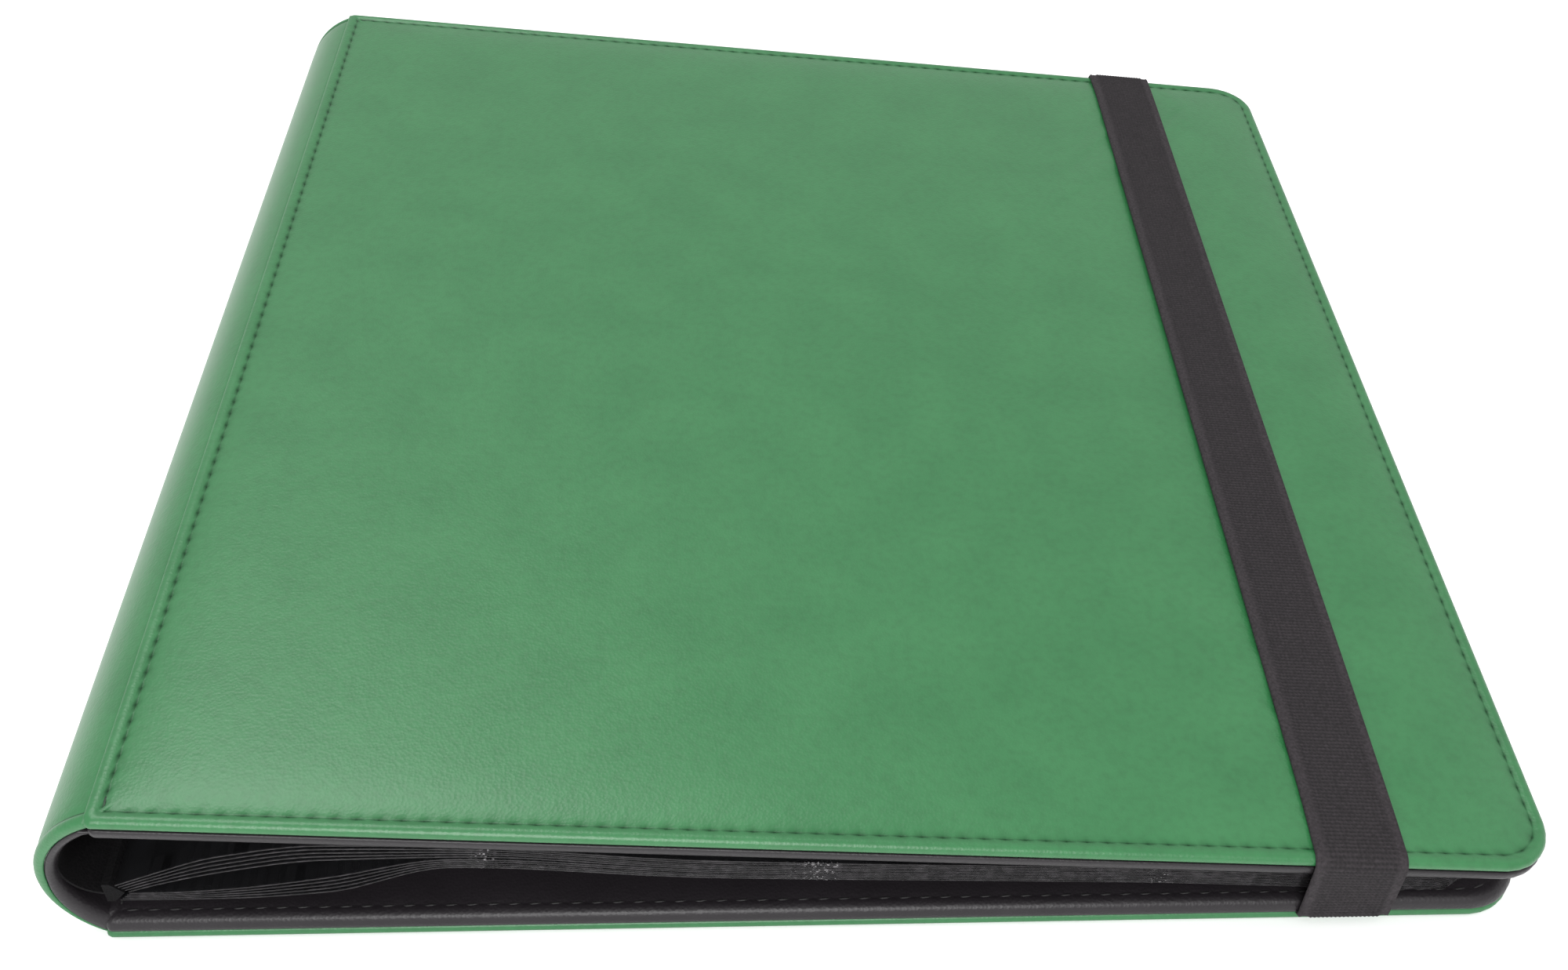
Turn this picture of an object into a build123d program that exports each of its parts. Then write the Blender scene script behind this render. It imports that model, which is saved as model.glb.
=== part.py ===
"""Side-loading collector album: two padded leatherette covers, a round padded spine,
ten sewn-in pocket leaves and an elastic strap that holds it shut.

Frame: X runs from the spine to the fore edge, Y along the spine, Z up. The origin is at the
centre of the footprint, on the surface that the album lies on. All sizes are in millimetres.
"""
from build123d import *
from math import acos, cos, degrees, radians, sin, tan
import os

os.makedirs("parts", exist_ok=True)

# ---- covers ----
COVER_WIDTH = 297.0  # fold to fore edge
COVER_LENGTH = 315.0  # along the spine
SPINE_LENGTH = 313.4
COVER_THICKNESS = 6.5
FORE_CORNER_RADIUS = 12.5
FOLD_CORNER_RADIUS = 2.0
FOLD_INSET = 1.0  # from the fold line to the covers' turned edges
SKIN = 0.9  # leatherette
FOAM = 1.4  # padding under the leatherette
BOARD = 2.2
BOARD_START = 1.2
LINING_PAD = 1.2
LINING = 0.8
SEAM_HEIGHT = 3.6  # where the leatherette meets the lining on the cover's edge
OUTER_EDGE_RADIUS = 2.4
LINING_EDGE_RADIUS = 2.0
FOLD_EDGE_RADIUS = 0.4
LAYER_GAP = 0.1  # between a layer's rim and the turned edge around it

# ---- stitch line around each cover ----
STITCH_INSET = 3.8
FOLD_STITCH_INSET = 3.8
GROOVE_WIDTH = 1.0
GROOVE_DEPTH = 0.4
THREAD_WIDTH = 0.7
THREAD_THICKNESS = 0.32

# ---- how the closed album lies ----
FRONT_TILT = 4.3  # degrees, falling to the fore edge
FRONT_FOLD_X = 4.6  # from the back cover's fold to the front cover's fold
FRONT_FOLD_Z = 40.2  # top of the front cover at its fold

# ---- spine: concentric bands of one circle, seen along Y, measured from the back fold ----
SPINE_CENTRE_X = 10.9
SPINE_CENTRE_Z = 19.5
SPINE_RADIUS = 21.25  # outside of the leatherette
SPINE_PAD = 2.2
TAB_LENGTH = 8.5  # sewn in under each cover's edge
TAB_CLEARANCE = 0.6  # from a tab's end to the padding behind it
SKIN_TAB_DEPTH = 1.5 * SKIN  # middle of the leatherette's tab, just inside the cover's own
LINING_TAB_DEPTH = COVER_THICKNESS - 1.5 * LINING  # the same for the lining's tab
BACK_PIVOT_ANGLE = 41.0  # below the horizontal through the spine's centre
FRONT_PIVOT_ANGLE = 44.6  # above it
PAD_END_GAP = 2.0  # degrees left free at each end of the stiff pad

# ---- leaves and their binding ----
LEAF_COUNT = 10
LEAF_LENGTH = 310.0
LEAF_FORE_X = 287.5
LEAF_CORNER_RADIUS = 12.0
SHEET = 0.25
FILM = 0.1
PIVOT_CENTRE_X = 5.6
PIVOT_CENTRE_Z = 13.2
PIVOT_STEP = 0.55  # each leaf's sewn edge steps back and up, or back and down
LEAF_START = 0.5  # from a leaf's fold line to its free part
POCKET_COLUMNS = 4
POCKET_ROWS = 3
POCKET_MARGIN = 3.0  # weld border at the near, far and fore edges
FIRST_POCKET_X = 8.0
POCKET_SLIT = 1.2
WELD_WIDTH = 2.0

CORE_BACK_X = 1.0
CORE_GAP = 0.6  # from the sewn block to the leaves' fold lines
CORE_LIP = 0.4
FLAP = 0.6
FLAP_TOP_ANGLE = 34.0  # where its glued edge ends on the spine lining
FLAP_LOW_ANGLE = 12.0  # where it leaves the lining

# Heights of four leaves' middles above the back cover's outside, at each distance from the fold.
# The leaves between them are spaced evenly.
LEAF_STATIONS = (12.0, 25.0, 45.0, 70.0, 121.0, 211.0, 287.5)
TOP_LEAF = (19.6, 24.9, 28.2, 27.2, 21.2, 16.4, 11.85)
LAST_UPPER_LEAF = (15.9, 19.8, 23.4, 23.9, 18.7, 14.2, 9.65)
FIRST_LOWER_LEAF = (12.9, 13.8, 17.2, 22.9, 18.0, 13.65, 9.1)
BOTTOM_LEAF = (10.6, 10.7, 12.4, 20.3, 15.5, 11.5, 6.95)

# ---- elastic strap ----
STRAP_WIDTH = 20.0
STRAP_THICKNESS = 1.4
STRAP_X = 256.5  # its middle, from the back fold
STRAP_GAP = 0.1  # to the covers that it lies on
STRAP_TAB = 8.0  # sewn in between the back cover's leatherette and lining
STRAP_SLOT_CLEARANCE = 0.2  # between the strap and the sides of the slot that it goes in by

BACK_FOLD_X = SPINE_RADIUS - SPINE_CENTRE_X - (
    SPINE_RADIUS - SPINE_CENTRE_X + FRONT_FOLD_X + COVER_WIDTH * cos(radians(FRONT_TILT))
) / 2

# the back cover's plane and the front cover's: local Z runs from the leatherette to the lining
tilt = radians(FRONT_TILT)
back_plane = Plane(origin=(BACK_FOLD_X, 0, 0), x_dir=(1, 0, 0), z_dir=(0, 0, 1))
front_plane = Plane(
    origin=(BACK_FOLD_X + FRONT_FOLD_X, 0, FRONT_FOLD_Z),
    x_dir=(cos(tilt), 0, -sin(tilt)),
    z_dir=(-sin(tilt), 0, -cos(tilt)),
)
# seen along +Y, with X measured from the back fold and Y as height
section = Plane(origin=(BACK_FOLD_X, 0, 0), x_dir=(1, 0, 0), z_dir=(0, -1, 0))


def save(piece, name):
    piece.label = name
    export_step(piece, f"parts/{name}.step")


def panel(inset, fold_inset, width=COVER_WIDTH, length=COVER_LENGTH):
    """A cover's outline, drawn inward by inset, and by fold_inset at the fold."""
    with BuildSketch(mode=Mode.PRIVATE) as outline:
        with Locations(((fold_inset + width - inset) / 2, 0)):
            Rectangle(width - inset - fold_inset, length - 2 * inset)
        corners = outline.vertices().group_by(Axis.X)
        fillet(corners[-1], FORE_CORNER_RADIUS - inset)
        if fold_inset < FOLD_CORNER_RADIUS:
            fillet(corners[0], FOLD_CORNER_RADIUS - fold_inset)
    return outline.sketch


def stitch_ring(band):
    """The closed band along a cover's stitch line, band wide."""
    half = band / 2
    outside = panel(STITCH_INSET - half, FOLD_STITCH_INSET - half)
    inside = panel(STITCH_INSET + half, FOLD_STITCH_INSET + half)
    return outside - inside


def strap_slot(depth, low, high):
    """Boxes where the strap's sewn ends go in, at the cover's near and far edges."""
    slot_width = STRAP_WIDTH + 2 * STRAP_SLOT_CLEARANCE
    with BuildPart(mode=Mode.PRIVATE) as slots:
        with BuildSketch(Plane.XY.offset(low)):
            for side in (-1, 1):
                with Locations((STRAP_X, side * (COVER_LENGTH - depth) / 2)):
                    Rectangle(slot_width, depth + 2 * STRAP_GAP)
        extrude(amount=high - low)
    return slots.part


def make_cover(name, plane, holds_strap):
    """One padded cover as its separate layers. Local Z is 0 on the leatherette's outside."""
    slot_low = SEAM_HEIGHT - STRAP_THICKNESS - STRAP_GAP
    tab_end = TAB_LENGTH + TAB_CLEARANCE

    with BuildPart() as skin:
        with BuildSketch():
            add(panel(0, FOLD_INSET))
        extrude(amount=SEAM_HEIGHT)
        outside = skin.faces().sort_by(Axis.Z)[0].edges()
        fillet(outside.sort_by(Axis.X)[1:], OUTER_EDGE_RADIUS)
        with BuildSketch(Plane.XY.offset(SKIN)):
            add(panel(SKIN, -COVER_THICKNESS))
        extrude(amount=SEAM_HEIGHT, mode=Mode.SUBTRACT)
        with BuildSketch():
            add(stitch_ring(GROOVE_WIDTH))
        extrude(amount=GROOVE_DEPTH, mode=Mode.SUBTRACT)
        if holds_strap:
            add(strap_slot(STRAP_TAB, slot_low, SEAM_HEIGHT), mode=Mode.SUBTRACT)

    with BuildPart() as foam:
        with BuildSketch(Plane.XY.offset(SKIN)):
            add(panel(SKIN + LAYER_GAP, tab_end))
        extrude(amount=FOAM)
        if holds_strap:
            add(strap_slot(STRAP_TAB, slot_low, SEAM_HEIGHT), mode=Mode.SUBTRACT)

    with BuildPart() as board:
        with BuildSketch(Plane.XY.offset(SKIN + FOAM)):
            add(panel(SKIN + LAYER_GAP, BOARD_START))
        extrude(amount=BOARD)
        if holds_strap:
            add(strap_slot(STRAP_TAB, slot_low, SEAM_HEIGHT), mode=Mode.SUBTRACT)

    with BuildPart() as lining_pad:
        with BuildSketch(Plane.XY.offset(SKIN + FOAM + BOARD)):
            add(panel(SKIN + LAYER_GAP, tab_end))
        extrude(amount=LINING_PAD)

    with BuildPart() as lining:
        with BuildSketch(Plane.XY.offset(SEAM_HEIGHT)):
            add(panel(0, FOLD_INSET))
        extrude(amount=COVER_THICKNESS - SEAM_HEIGHT)
        inside = lining.faces().sort_by(Axis.Z)[-1].edges()
        fillet(inside.sort_by(Axis.X)[1:], LINING_EDGE_RADIUS)
        with BuildSketch(Plane.XY.offset(SEAM_HEIGHT)):
            add(panel(LINING, -COVER_THICKNESS))
        extrude(amount=COVER_THICKNESS - SEAM_HEIGHT - LINING, mode=Mode.SUBTRACT)
        with BuildSketch(Plane.XY.offset(COVER_THICKNESS - GROOVE_DEPTH)):
            add(stitch_ring(GROOVE_WIDTH))
        extrude(amount=GROOVE_DEPTH, mode=Mode.SUBTRACT)

    with BuildPart() as stitching:
        with BuildSketch(Plane.XY.offset(GROOVE_DEPTH - THREAD_THICKNESS)):
            add(stitch_ring(THREAD_WIDTH))
        extrude(amount=THREAD_THICKNESS)
        with BuildSketch(Plane.XY.offset(COVER_THICKNESS - GROOVE_DEPTH)):
            add(stitch_ring(THREAD_WIDTH))
        extrude(amount=THREAD_THICKNESS)

    layers = {
        "skin": skin,
        "foam_pad": foam,
        "board": board,
        "lining_pad": lining_pad,
        "lining": lining,
        "stitching": stitching,
    }
    for layer, built in layers.items():
        save(built.part.moved(plane.location), f"{name}_{layer}")


make_cover("back_cover", back_plane, holds_strap=True)
make_cover("front_cover", front_plane, holds_strap=False)


# ---- spine ----
def on_spine(radius, angle):
    """A point of the section: angle is above the horizontal on the bulging side."""
    a = radians(angle)
    return (SPINE_CENTRE_X - radius * cos(a), SPINE_CENTRE_Z + radius * sin(a))


def under_front(depth, along):
    """A point of the section inside the front cover: depth under its top, along from its fold."""
    return (
        FRONT_FOLD_X - depth * sin(tilt) + along * cos(tilt),
        FRONT_FOLD_Z - depth * cos(tilt) - along * sin(tilt),
    )


def spine_band(radius, depth):
    """The middle line of a spine layer that runs on into both covers, depth under their outsides."""
    to_top = (FRONT_FOLD_X - SPINE_CENTRE_X) * sin(tilt)
    to_top += (FRONT_FOLD_Z - SPINE_CENTRE_Z) * cos(tilt) - depth
    top_angle = 90 + FRONT_TILT - degrees(acos(to_top / radius))
    low_angle = degrees(acos((SPINE_CENTRE_Z - depth) / radius)) - 90
    low, high = on_spine(radius, low_angle), on_spine(radius, top_angle)
    with BuildLine(mode=Mode.PRIVATE) as middle:
        Line((TAB_LENGTH, depth), low)
        ThreePointArc(low, on_spine(radius, (low_angle + top_angle) / 2), high)
        Line(high, under_front(depth, TAB_LENGTH))
    return middle.line


def tab_corners():
    """Boxes over the ends of the sewn-in tabs, which stay inside the covers' turned edges."""
    rim = SKIN + LAYER_GAP
    back_start = FOLD_INSET - LAYER_GAP
    front_start = FRONT_FOLD_X + back_start - COVER_THICKNESS * sin(tilt)
    with BuildPart(mode=Mode.PRIVATE) as corners:
        for start, height in ((back_start, 0), (front_start, SPINE_CENTRE_Z)):
            with BuildSketch(Plane.XY.offset(height)):
                with Locations((BACK_FOLD_X + start + TAB_LENGTH, 0)):
                    with GridLocations(0, COVER_LENGTH, 1, 2):
                        Rectangle(2 * TAB_LENGTH, 2 * rim)
            extrude(amount=FRONT_FOLD_Z - SPINE_CENTRE_Z)
    return corners.part


with BuildPart() as spine_skin:
    with BuildSketch(section):
        trace(spine_band(SPINE_RADIUS - SKIN / 2, SKIN_TAB_DEPTH), line_width=SKIN)
    extrude(amount=SPINE_LENGTH / 2, both=True)
    add(tab_corners(), mode=Mode.SUBTRACT)
save(spine_skin.part, "spine_skin")

pad_radius = SPINE_RADIUS - SKIN - SPINE_PAD / 2
with BuildPart() as spine_pad:
    with BuildSketch(section):
        with BuildLine():
            ThreePointArc(
                on_spine(pad_radius, PAD_END_GAP - BACK_PIVOT_ANGLE),
                on_spine(pad_radius, 0),
                on_spine(pad_radius, FRONT_PIVOT_ANGLE - PAD_END_GAP),
            )
        trace(line_width=SPINE_PAD)
    extrude(amount=SPINE_LENGTH / 2 - SKIN, both=True)
save(spine_pad.part, "spine_pad")

lining_radius = SPINE_RADIUS - SKIN - SPINE_PAD - LINING / 2
with BuildPart() as spine_lining:
    with BuildSketch(section):
        trace(spine_band(lining_radius, LINING_TAB_DEPTH), line_width=LINING)
    extrude(amount=SPINE_LENGTH / 2, both=True)
    add(tab_corners(), mode=Mode.SUBTRACT)
save(spine_lining.part, "spine_lining")


# ---- leaves ----
def leaf_pivot(number):
    """Where leaf number's sewn edge folds: the middle leaves stand furthest from the spine."""
    steps = (LEAF_COUNT + 1) / 2 - number
    return (PIVOT_CENTRE_X - abs(steps) * PIVOT_STEP, PIVOT_CENTRE_Z + steps * PIVOT_STEP)


def leaf_heights(number):
    """The height of the leaf's middle at each station."""
    half = LEAF_COUNT // 2
    if number <= half:
        above, below, share = TOP_LEAF, LAST_UPPER_LEAF, (number - 1) / (half - 1)
    else:
        above, below = FIRST_LOWER_LEAF, BOTTOM_LEAF
        share = (number - half - 1) / (half - 1)
    return [a + (b - a) * share for a, b in zip(above, below)]


def leaf_section(number, low, high):
    """The leaf's section between two offsets from its middle, as a face."""
    x, z = leaf_pivot(number)
    xs = (x + LEAF_START, *LEAF_STATIONS)
    zs = (z, *leaf_heights(number))
    runs = [(b - a) / (v - u) for u, v, a, b in zip(xs, xs[1:], zs, zs[1:])]
    inner = [2 * a * b / (a + b) if a * b > 0 else 0 for a, b in zip(runs, runs[1:])]
    slopes = [runs[0], *inner, 0]
    with BuildSketch(mode=Mode.PRIVATE) as face:
        with BuildLine():
            for offset in (low, high):
                ends = list(zip(xs, zs, slopes))
                for (u, a, rise), (v, b, fall) in zip(ends, ends[1:]):
                    third = (v - u) / 3
                    Bezier(
                        (u, a + offset),
                        (u + third, a + offset + rise * third),
                        (v - third, b + offset - fall * third),
                        (v, b + offset),
                    )
            Line((xs[0], zs[0] + low), (xs[0], zs[0] + high))
            Line((xs[-1], zs[-1] + low), (xs[-1], zs[-1] + high))
        make_face()
    return face.sketch


def leaf_plan(fold_x, inset):
    """The leaf's outline from above, drawn inward by inset, as a tall prism."""
    with BuildPart(mode=Mode.PRIVATE) as prism:
        with BuildSketch():
            with Locations((BACK_FOLD_X + (fold_x + LEAF_FORE_X - inset) / 2, 0)):
                Rectangle(LEAF_FORE_X - inset - fold_x, LEAF_LENGTH - 2 * inset)
        extrude(amount=FRONT_FOLD_Z)
        fore = prism.edges().filter_by(Axis.Z).group_by(Axis.X)[-1]
        fillet(fore, LEAF_CORNER_RADIUS - inset)
    return prism.part


def pocket_slits():
    """Tall slots, one beside each pocket's spine side, where a card slides in."""
    column = (LEAF_FORE_X - POCKET_MARGIN - FIRST_POCKET_X) / POCKET_COLUMNS
    row = (LEAF_LENGTH - 2 * POCKET_MARGIN) / POCKET_ROWS
    with BuildPart(mode=Mode.PRIVATE) as slits:
        with BuildSketch():
            middle = BACK_FOLD_X + FIRST_POCKET_X + WELD_WIDTH + (POCKET_COLUMNS - 1) * column / 2
            with Locations((middle, 0)):
                with GridLocations(column, row, POCKET_COLUMNS, POCKET_ROWS):
                    Rectangle(POCKET_SLIT, row - 2 * WELD_WIDTH)
        extrude(amount=FRONT_FOLD_Z)
    return slits.part


sheet_plan = leaf_plan(0, 0)
film_plan = leaf_plan(FIRST_POCKET_X, 0) - pocket_slits()
for number in range(1, LEAF_COUNT + 1):
    layers = (
        ("sheet", -SHEET / 2, SHEET / 2, sheet_plan),
        ("front_pockets", SHEET / 2, SHEET / 2 + FILM, film_plan),
        ("back_pockets", -SHEET / 2 - FILM, -SHEET / 2, film_plan),
    )
    for layer, low, high, plan in layers:
        with BuildPart() as leaf_layer:
            with BuildSketch(section):
                add(leaf_section(number, low, high))
            extrude(amount=LEAF_LENGTH / 2, both=True)
            add(plan, mode=Mode.INTERSECT)
        save(leaf_layer.part, f"leaf_{number:02d}_{layer}")


# ---- binding: the leaves' sewn edges, and the flap that hangs them on the spine lining ----
half_stack = PIVOT_STEP * (LEAF_COUNT - 1) / 2
with BuildPart() as binding_core:
    with BuildSketch(section):
        with BuildLine():
            Polyline(
                (CORE_BACK_X, PIVOT_CENTRE_Z - half_stack - CORE_LIP),
                (PIVOT_CENTRE_X - half_stack - CORE_GAP, PIVOT_CENTRE_Z - half_stack - CORE_LIP),
                (PIVOT_CENTRE_X - CORE_GAP, PIVOT_CENTRE_Z),
                (PIVOT_CENTRE_X - half_stack - CORE_GAP, PIVOT_CENTRE_Z + half_stack + CORE_LIP),
                (CORE_BACK_X, PIVOT_CENTRE_Z + half_stack + CORE_LIP),
                close=True,
            )
        make_face()
    extrude(amount=LEAF_LENGTH / 2, both=True)
save(binding_core.part, "binding_core")

flap_radius = lining_radius - (LINING + FLAP) / 2
with BuildPart() as binding_flap:
    with BuildSketch(section):
        with BuildLine():
            glued = ThreePointArc(
                on_spine(flap_radius, FLAP_TOP_ANGLE),
                on_spine(flap_radius, (FLAP_TOP_ANGLE + FLAP_LOW_ANGLE) / 2),
                on_spine(flap_radius, FLAP_LOW_ANGLE),
            )
            TangentArc(glued @ 1, (CORE_BACK_X, PIVOT_CENTRE_Z), tangent=glued % 1)
        trace(line_width=FLAP)
    extrude(amount=LEAF_LENGTH / 2, both=True)
    with BuildSketch(section):
        with Locations((CORE_BACK_X + FLAP, PIVOT_CENTRE_Z)):
            Rectangle(2 * FLAP, 2 * LEAF_LENGTH)
    extrude(amount=LEAF_LENGTH, both=True, mode=Mode.SUBTRACT)
save(binding_flap.part, "binding_flap")


# ---- elastic strap: a closed band round the covers, open under the back cover ----
strap_left, strap_right = STRAP_X - STRAP_WIDTH / 2, STRAP_X + STRAP_WIDTH / 2
strap_low = SEAM_HEIGHT - STRAP_THICKNESS
strap_reach = COVER_LENGTH / 2 + STRAP_GAP


def strap_block(start, end, low, rise, half_length):
    """A block from x start to end, from the height low up to rise above the front cover."""
    with BuildPart(mode=Mode.PRIVATE) as block:
        with BuildSketch(section):
            with BuildLine():
                tops = [
                    (x, FRONT_FOLD_Z - (x - FRONT_FOLD_X) * tan(tilt) + rise) for x in (end, start)
                ]
                Polyline((start, low), (end, low), *tops, close=True)
            make_face()
        extrude(amount=half_length, both=True)
    return block.part


with BuildPart() as elastic_strap:
    over_cover = STRAP_GAP + STRAP_THICKNESS
    add(strap_block(strap_left, strap_right, strap_low, over_cover, strap_reach + STRAP_THICKNESS))
    hole = (strap_left - STRAP_WIDTH, strap_right + STRAP_WIDTH, strap_low + STRAP_THICKNESS)
    add(strap_block(*hole, STRAP_GAP, strap_reach), mode=Mode.SUBTRACT)
    with BuildSketch(Plane.XY):
        with Locations((BACK_FOLD_X + STRAP_X, 0)):
            Rectangle(2 * STRAP_WIDTH, COVER_LENGTH - 2 * STRAP_TAB)
    extrude(amount=strap_low + STRAP_THICKNESS, mode=Mode.SUBTRACT)
save(elastic_strap.part, "elastic_strap")
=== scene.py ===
"""Looks of the stamp album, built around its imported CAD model. All lengths are in metres.

A cover's own frame: U runs from its fold to its fore edge, V along the fold, and depth from
its leatherette's outside towards the leaves.
"""

import math
import bpy
import numpy as np
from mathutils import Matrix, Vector


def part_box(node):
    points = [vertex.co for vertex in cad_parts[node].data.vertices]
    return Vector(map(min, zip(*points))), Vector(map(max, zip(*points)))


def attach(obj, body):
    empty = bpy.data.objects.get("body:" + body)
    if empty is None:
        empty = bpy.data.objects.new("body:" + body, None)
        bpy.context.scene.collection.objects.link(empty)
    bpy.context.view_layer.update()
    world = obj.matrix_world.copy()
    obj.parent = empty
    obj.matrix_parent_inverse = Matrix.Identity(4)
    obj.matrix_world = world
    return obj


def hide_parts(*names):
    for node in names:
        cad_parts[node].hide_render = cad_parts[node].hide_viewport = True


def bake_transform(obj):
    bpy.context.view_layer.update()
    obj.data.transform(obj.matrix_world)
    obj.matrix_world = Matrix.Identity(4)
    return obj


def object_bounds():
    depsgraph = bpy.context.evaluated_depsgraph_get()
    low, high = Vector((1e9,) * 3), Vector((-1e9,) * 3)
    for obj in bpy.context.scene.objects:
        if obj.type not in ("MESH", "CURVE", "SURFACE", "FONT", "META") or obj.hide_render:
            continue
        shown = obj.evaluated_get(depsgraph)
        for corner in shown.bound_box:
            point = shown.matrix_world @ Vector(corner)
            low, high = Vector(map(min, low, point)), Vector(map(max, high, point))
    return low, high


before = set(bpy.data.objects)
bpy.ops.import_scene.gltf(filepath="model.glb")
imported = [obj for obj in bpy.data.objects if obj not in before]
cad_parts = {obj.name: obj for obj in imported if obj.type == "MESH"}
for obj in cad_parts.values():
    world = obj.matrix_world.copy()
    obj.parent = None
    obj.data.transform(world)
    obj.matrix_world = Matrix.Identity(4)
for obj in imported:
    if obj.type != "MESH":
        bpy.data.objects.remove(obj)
cad_low, cad_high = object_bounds()

MM = 0.001

# ---- camera ----
CAMERA_PLACE = (-0.0182, -0.3589, 0.3169)
CAMERA_TURN = (0.8183, -0.0478, -0.0502)
CAMERA_LENS = 39.73
CAMERA_SHIFT = -0.045

# ---- covers ----
COVER_WIDTH = 297 * MM
HALF_LENGTH = 157.5 * MM
FRONT_TILT = math.radians(4.3)
CAD_SEAM_DEPTH = 3.6 * MM  # of the seam between leatherette and lining
CAD_FOLD_EDGE = 1.0 * MM  # U of the CAD leatherette's edge at the fold
SKIN_FOLD_EDGE = -0.9 * MM  # U of the leatherette's turned edge at the fold
LINING_FOLD_EDGE = -0.5 * MM
FORE_RADIUS = 12.5 * MM
FOLD_RADIUS = 1.3 * MM
STITCH_INSET = 3.2 * MM
FOLD_STITCH = 2.1 * MM  # U of the stitch line beside the fold
STITCH_FOLD_RADIUS = 0.5 * MM
SKIN = 0.9 * MM
LINING = 0.8 * MM
LINING_DEPTH = 6.2 * MM  # of the lining's face at its stitch line
LINING_RISE = 0.3 * MM

# stitches along each run of the stitch line, and the mesh columns that each one takes
NEAR_STITCHES = 66
FORE_STITCHES = 68
FOLD_STITCHES = 72
CORNER_STITCHES = 3
COLUMNS = 4
STITCH_STEPS = (0.0, 0.12, 0.5, 0.88)  # a stitch's columns: the first is its needle hole
HOLE_STEPS = (1.0, 0.7, 0.0, 0.7)  # how near each column is to a needle hole
FOLD_CORNER_SHARES = (0.0, 0.0, 0.1, 0.4)
STITCH_LENGTH = 3.3 * MM
STITCH_WIDTH = 0.72 * MM
STITCH_HEIGHT = 0.42 * MM
STITCH_SLANT = 0.09
STITCH_SINK = 0.25 * MM  # of its ends, into the needle holes
STITCH_SIDES = 6
STITCH_STATIONS = ((-1.0, 0.25), (-0.8, 0.75), (-0.3, 1.0), (0.3, 1.0), (0.8, 0.75), (1.0, 0.25))

# the padding's crown
FRONT_CROWN = 1.38 * MM
BACK_CROWN = 0.36 * MM
STITCH_DEPTH = 0.45 * MM
CROWN_REACH = 6.5 * MM
PUCKER = 0.26 * MM
LINING_PUCKER = 0.1 * MM
PUCKER_REACH = 0.6 * MM
# how far the painted crease shade reaches from the stitch line into the panel
CREASE_SHADE_REACH = 0.5 * MM
WAVE_HEIGHT = 0.06 * MM
# how dark the painted shade in the crease is beside the stitch line, on it, and on the first two
# rows of the rolled edge: a part all along, and a part at the needle holes
FIELD_CREASE_SHADE = (0.16, 0.64)
LINE_CREASE_SHADE = (0.3, 0.65)
EDGE_CREASE_SHADES = (0.7, 0.15)

# ---- spine ----
SPINE_CENTRE = np.array([10.9, 19.5]) * MM  # X from the back fold, and Z
SPINE_RADIUS = 21.25 * MM
TAB_LENGTH = 8.5 * MM
TAB_INSET = 1.2 * MM
SPINE_BEND = 5 * MM  # half the arc over which it turns at each fold
PIVOT_RADIUS = 19.25 * MM
BACK_PIVOT = math.radians(41.0)
FRONT_PIVOT = math.radians(44.6)

# ---- leaves ----
LEAF_COUNT = 10
SHEET = 0.25 * MM
FILM = 0.1 * MM
LEAF_HALF = 155 * MM
LEAF_FORE = 287.5 * MM
LEAF_CORNER = 12 * MM
FIRST_POCKET = 8 * MM
POCKET_MARGIN = 3 * MM
POCKET_COLUMNS = 4
POCKET_ROWS = 3
POCKET_SLIT = 2.6 * MM
WELD = 1.0 * MM  # half a weld's width
FROST_AND_GLINT_EDGE = 0.25 * MM  # width of the bright line along a leaf's ends, partly frosted weld and partly painted glint
SEAM_MARKS = 5 * MM  # how far along X a column's seam shows as bright dots of frost and painted glint
PUFF = 0.05 * MM
PUFF_REACH = 4 * MM  # from a weld to the full puff
LEAF_COLUMNS = 13

# ---- strap ----
STRAP_MIDDLE = 256.5 * MM
STRAP_WIDTH = 20 * MM
STRAP_THICKNESS = 1.4 * MM
STRAP_PRESS = 0.55  # share of the crown that it presses down
STRAP_PRESS_EDGE = 1.08  # where the press is half, in half widths of the strap
STRAP_PRESS_STEEPNESS = 14
STRAP_ACROSS = 45  # points across it
STRAP_GAP = 0.15 * MM  # to the covers' near and far edges
STRAP_SEWN = 7.5 * MM  # its ends, from the back cover's edges
STRAP_SHOULDER = 2.9 * MM  # its bend over the front cover's edge
STRAP_FOOT = 1.1 * MM  # its bend out of the back cover's seam
STRAP_EDGE_RADIUS = 0.55 * MM
SELVEDGE = 2.0 * MM
SELVEDGE_DIP = 0.15 * MM
SELVEDGE_ROLL = 0.8 * MM
RIB_PITCH = 0.95 * MM
RIB_HEIGHT = 0.18 * MM

skin_low, skin_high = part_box("front_cover_skin")
back_low, back_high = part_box("back_cover_skin")
FOLD_X = back_low.x - CAD_FOLD_EDGE  # the back cover's fold, where X is measured from
BASE_Z = back_low.z


class CoverFrame:
    """Where one cover lies: turns its own U, V and depth into places in the shared frame."""

    def __init__(self, name, origin, tilt, side):
        self.name = name
        self.origin = np.array(origin)
        self.u = np.array([math.cos(tilt), 0, -math.sin(tilt)])
        self.inward = np.array([-math.sin(tilt), 0, -math.cos(tilt)]) * side
        self.flip = side < 0

    def place(self, u, v, depth):
        points = self.origin + np.multiply.outer(u, self.u) + np.multiply.outer(depth, self.inward)
        points[..., 1] += v
        return points


front_x = skin_low.x - CAD_FOLD_EDGE * math.cos(FRONT_TILT) + CAD_SEAM_DEPTH * math.sin(FRONT_TILT)
front_z = skin_high.z + CAD_FOLD_EDGE * math.sin(FRONT_TILT)
back_cover = CoverFrame("back_cover", (FOLD_X, 0, BASE_Z), 0.0, -1)
front_cover = CoverFrame("front_cover", (front_x, 0, front_z), FRONT_TILT, 1)


# ---- mesh helpers ----
def grid_faces(rows, columns, loop, first=0):
    """Quads of a grid of points, row by row. loop joins each row's end to its start."""
    row = np.arange(rows - 1)[:, None]
    column = np.arange(columns if loop else columns - 1)[None, :]
    after = (column + 1) % columns
    corners = [
        row * columns + column,
        row * columns + after,
        (row + 1) * columns + after,
        (row + 1) * columns + column,
    ]
    return np.stack(corners, -1).reshape(-1, 4) + first


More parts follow.
